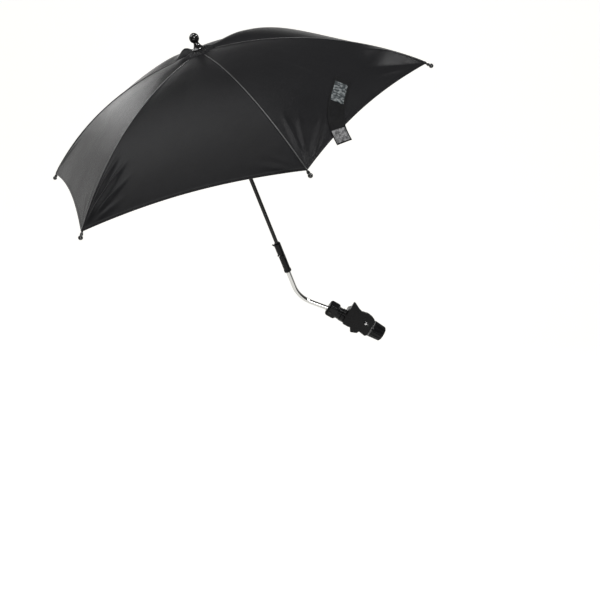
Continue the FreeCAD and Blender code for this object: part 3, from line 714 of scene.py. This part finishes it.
def build_cover():
    """A gore for each rib, from mid panel to mid panel, and a welt on its seam."""
    points, folds, distance = full_cover()
    points = points + grid_normals(points, closed=True) * folds[..., None]
    normals = grid_normals(points, closed=True)
    wide = flat_widths(points)
    hem_lift = hem_fold_height * (1 - smooth(hem_width - hem_edge, hem_width, distance))
    top = points + normals * hem_lift[..., None]
    bottom = points - normals * cloth_thickness
    shading = grid_normals(top, closed=True) @ crown_turn.T
    for number in rib_numbers:
        middle = (number - 1) * 2 * half_columns
        take = np.arange(middle - half_columns, middle + half_columns + 1) % points.shape[1]
        flat = np.stack([wide[:, take], distance[:, take]], axis=-1)
        name = "cover_gore_%d" % number
        mesh = shell_mesh(name, to_world(top[:, take]), to_world(bottom[:, take]), shading[:, take], flat)
        piece = place_piece(name, mesh, finishes["cloth"])
        fold_with_rib(piece, number)
        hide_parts("canopy_gore_%d" % number)
        build_welt(number, points[welt_rows, middle] + normals[welt_rows, middle] * welt_rise)


# Tie strap


def strap_centre(shares):
    """Plan points of the strap's middle line at shares of its length, and the directions to its side."""
    along, across = np.transpose(strap_path)
    places = panel_point(strap_panel, across, *rib_profile(along, cloth_offset))[:, :2]
    steps = np.concatenate([[0], np.cumsum(np.linalg.norm(np.diff(places, axis=0), axis=1))])
    curves = [np.polyfit(steps / steps[-1], places[:, axis], strap_path_degree) for axis in (0, 1)]
    line = np.stack([np.polyval(curve, shares) for curve in curves], axis=-1)
    run = np.stack([np.polyval(np.polyder(curve), shares) for curve in curves], axis=-1)
    run = run / np.linalg.norm(run, axis=-1, keepdims=True)
    return line, np.stack([-run[:, 1], run[:, 0]], axis=-1)


def plan_to_panel(panel, plan):
    """Where plan points lie on a panel: share across it, radius at its ribs, and share of their length."""
    x, y = plan[..., 0], plan[..., 1]
    near, far = panel * sector, (panel + 1) * sector
    to_near = (x * math.sin(far) - y * math.cos(far)) / math.sin(sector)
    to_far = (y * math.cos(near) - x * math.sin(near)) / math.sin(sector)
    radius = to_near + to_far
    reach = rib_arc_radius + cloth_offset
    slope = np.arcsin((radius - hinge_circle_radius + rib_arc_radius * math.sin(first_slope)) / reach)
    return to_far / radius, radius, (slope - first_slope) / (2 * rib_half_turn)


def strap_grid(start, end, width, rows=40, columns=13):
    """A stretch of the strap as points on the cover, their normals, and their places on the flat strap."""
    shares = np.linspace(start, end, rows)
    line, aside = strap_centre(shares)
    offsets = np.linspace(-width / 2, width / 2, columns)
    roll = (strap_roll * smooth(*strap_roll_shares, shares))[:, None]
    from_edge = offsets + strap_width / 2
    plan = line[:, None] + aside[:, None] * (from_edge * np.cos(roll) - strap_width / 2)[..., None]
    across, radius, share = plan_to_panel(strap_panel, plan)
    distance = (hem_share(across) - share) * rib_length
    points, folds = drape(strap_panel, across, radius, rib_profile(share, cloth_offset)[1], distance)
    lift = folds + hem_fold_height + from_edge * np.sin(roll)
    points = points + grid_normals(points, closed=False) * lift[..., None]
    long = np.cumsum(np.linalg.norm(np.diff(points, axis=0, prepend=points[:1]), axis=-1), axis=0)
    flat = np.stack([np.broadcast_to(offsets, long.shape), long], axis=-1)
    return points, grid_normals(points, closed=False), flat


def strap_layer(name, shares, width, low, thickness, material):
    """One layer of the strap, with its long edges rounded off, and its flat width and length."""
    points, normals, flat = strap_grid(*shares, width)
    edge = np.abs(np.linspace(-1, 1, points.shape[1]))
    crown = thickness * (1 - layer_edge_loss_share * smooth(layer_edge_share, 1.0, edge))
    top = points + normals * (low + crown)[:, None]
    bottom = points + normals * low
    shading = grid_normals(top, closed=False) @ crown_turn.T
    mesh = shell_mesh(name, to_world(top), to_world(bottom), shading, flat)
    piece = place_piece(name, mesh, material)
    fold_with_rib(piece, rib_count)
    flat_width = np.linalg.norm(np.diff(points, axis=1), axis=-1).sum(axis=1).mean()
    return piece, (float(flat_width), float(flat[-1, :, 1].mean()))


def build_strap():
    """The band, and the hook tape and the end patch that are sewn on it."""
    band_top = strap_gap + strap_thickness
    band, flat = strap_layer("strap_band", (0, 1), strap_width, strap_gap, strap_thickness,
                             webbing_material())
    hooks, _ = strap_layer("strap_hooks", hook_shares, hook_width, band_top, hook_thickness,
                           hook_material())
    patch, _ = strap_layer("strap_patch", patch_shares, patch_width, band_top, patch_thickness,
                           patch_material())
    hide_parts("tie_strap")


# Threads


def tie_rib(name, number, share, radius):
    """Turns of thread round a rib."""
    turn = (number - 1) * sector
    slope = first_slope + 2 * rib_half_turn * share
    reach, height = rib_profile(share, 0.0)
    outward = np.array((math.cos(turn), math.sin(turn), 0))
    run = outward * math.cos(slope) - np.array((0, 0, math.sin(slope)))
    aside = np.array((-math.sin(turn), math.cos(turn), 0))
    angles = np.linspace(0, 2 * math.pi * tie_turns, thread_steps * tie_turns + 1)[:, None]
    advance = 2 * thread_radius * (angles / (2 * math.pi) - tie_turns / 2)
    path = outward * reach + np.array((0, 0, height)) + run * advance
    path = path + radius * (aside * np.cos(angles) + np.cross(run, aside) * np.sin(angles))
    piece = place_piece(name, tube_mesh(name, to_world(path), thread_radius), thread_finish)
    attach(piece, "rib_%d" % number)


def build_ties():
    tie_radius = rib_wire_radius + cloth_gap + thread_radius
    for number in rib_numbers:
        for place, share in enumerate(tie_shares, 1):
            tie_rib("rib_tie_%d_%d" % (number, place), number, share, tie_radius)
        tie_rib("corner_tie_%d" % number, number, corner_tie_share, corner_tie_radius)


# Stage, light and camera


def stage_material():
    """A pale floor and backdrop that keep the object's shadow.

    They are white to the camera and in reflections, which show their sides dim.
    """
    material = bpy.data.materials.new("pale_stage")
    material.use_nodes = True
    tree = material.node_tree
    tree.nodes.clear()
    rays, shine = reflected(tree)
    strength = calc(tree, "MULTIPLY", calc(tree, "MAXIMUM", rays["Is Camera Ray"], shine), stage_glow)
    split = add(tree, "ShaderNodeSeparateXYZ", {"Vector": object_place(tree)}).outputs
    aside = calc(tree, "ABSOLUTE", split["X"])
    middle = remap(tree, aside, *stage_side_fade, 1.0, stage_side_level)
    lit = calc(tree, "MAXIMUM", middle, remap(tree, split["Y"], *stage_back_fade, 0.0, 1.0))
    lit = calc(tree, "MAXIMUM", lit, calc(tree, "SUBTRACT", 1.0, shine))
    glow = add(tree, "ShaderNodeEmission", {"Color": stage_white, "Strength": strength})
    matt = add(tree, "ShaderNodeBsdfDiffuse", {"Color": stage_matt})
    both = add(tree, "ShaderNodeAddShader", {0: glow.outputs[0], 1: matt.outputs[0]})
    dark = add(tree, "ShaderNodeEmission", {"Strength": 0.0})
    shown = add(tree, "ShaderNodeMixShader", {0: lit, 1: dark.outputs[0], 2: both.outputs[0]})
    add(tree, "ShaderNodeOutputMaterial", {"Surface": shown.outputs[0]})
    return material


def build_stage():
    bend_start = stage_back - stage_bend
    bend_top = floor_height + stage_bend
    profile = [(stage_front, floor_height), (bend_start, floor_height)]
    for step in range(1, stage_bend_steps + 1):
        angle = math.pi / 2 * step / stage_bend_steps
        profile.append((bend_start + stage_bend * math.sin(angle), bend_top - stage_bend * math.cos(angle)))
    profile.append((stage_back, stage_top))
    points = [(x, y, z) for x in (-stage_half_width, stage_half_width) for y, z in profile]
    count = len(profile)
    faces = [(step, step + count, step + count + 1, step + 1) for step in range(count - 1)]
    mesh = bpy.data.meshes.new("stage")
    mesh.from_pydata(points, [], faces)
    mesh.shade_smooth()
    stage = bpy.data.objects.new("stage", mesh)
    stage.data.materials.append(stage_material())
    bpy.context.scene.collection.objects.link(stage)


def build_studio():
    """A world that is white to the camera, and in reflections bright only low behind the object."""
    world = bpy.data.worlds.new("studio")
    bpy.context.scene.world = world
    world.use_nodes = True
    tree = world.node_tree
    rays, shine = reflected(tree)
    direction = add(tree, "ShaderNodeTexCoord", {}).outputs["Generated"]
    split = add(tree, "ShaderNodeSeparateXYZ", {"Vector": direction}).outputs
    low = remap(tree, split["Z"], *studio_overhead_fade, 1.0, studio_overhead_level)
    behind = remap(tree, split["Y"], *studio_front_fade, 0.0, 1.0)
    white = remap(tree, calc(tree, "MULTIPLY", low, behind), 0.0, 1.0, *studio_levels)
    other = calc(tree, "SUBTRACT", 1.0, calc(tree, "MAXIMUM", shine, rays["Is Camera Ray"]))
    level = calc(tree, "ADD", calc(tree, "MULTIPLY", shine, white), rays["Is Camera Ray"])
    level = calc(tree, "ADD", level, calc(tree, "MULTIPLY", other, studio_light))
    connect(tree, tree.nodes["Background"], {"Color": studio_white, "Strength": level})


def add_lamp(name, place, target, size, power):
    data = bpy.data.lights.new(name, "AREA")
    data.shape = "RECTANGLE"
    data.size, data.size_y = size
    data.energy = power
    lamp = bpy.data.objects.new(name, data)
    lamp.location = place
    lamp.rotation_euler = (Vector(target) - Vector(place)).to_track_quat("-Z", "Y").to_euler()
    bpy.context.scene.collection.objects.link(lamp)


def place_camera():
    data = bpy.data.cameras.new("camera")
    data.lens = camera_lens
    data.sensor_width = camera_sensor
    camera = bpy.data.objects.new("camera", data)
    camera.location = camera_place
    camera.rotation_euler = (math.pi / 2 - camera_pitch, 0, 0)
    bpy.context.scene.collection.objects.link(camera)
    bpy.context.scene.camera = camera


finish_nodes()
build_cover()
build_strap()
build_ties()
build_stage()
build_studio()
for lamp_name, lamp_values in lamps.items():
    add_lamp(lamp_name, *lamp_values)
place_camera()
bpy.context.scene.view_settings.view_transform = "Standard"
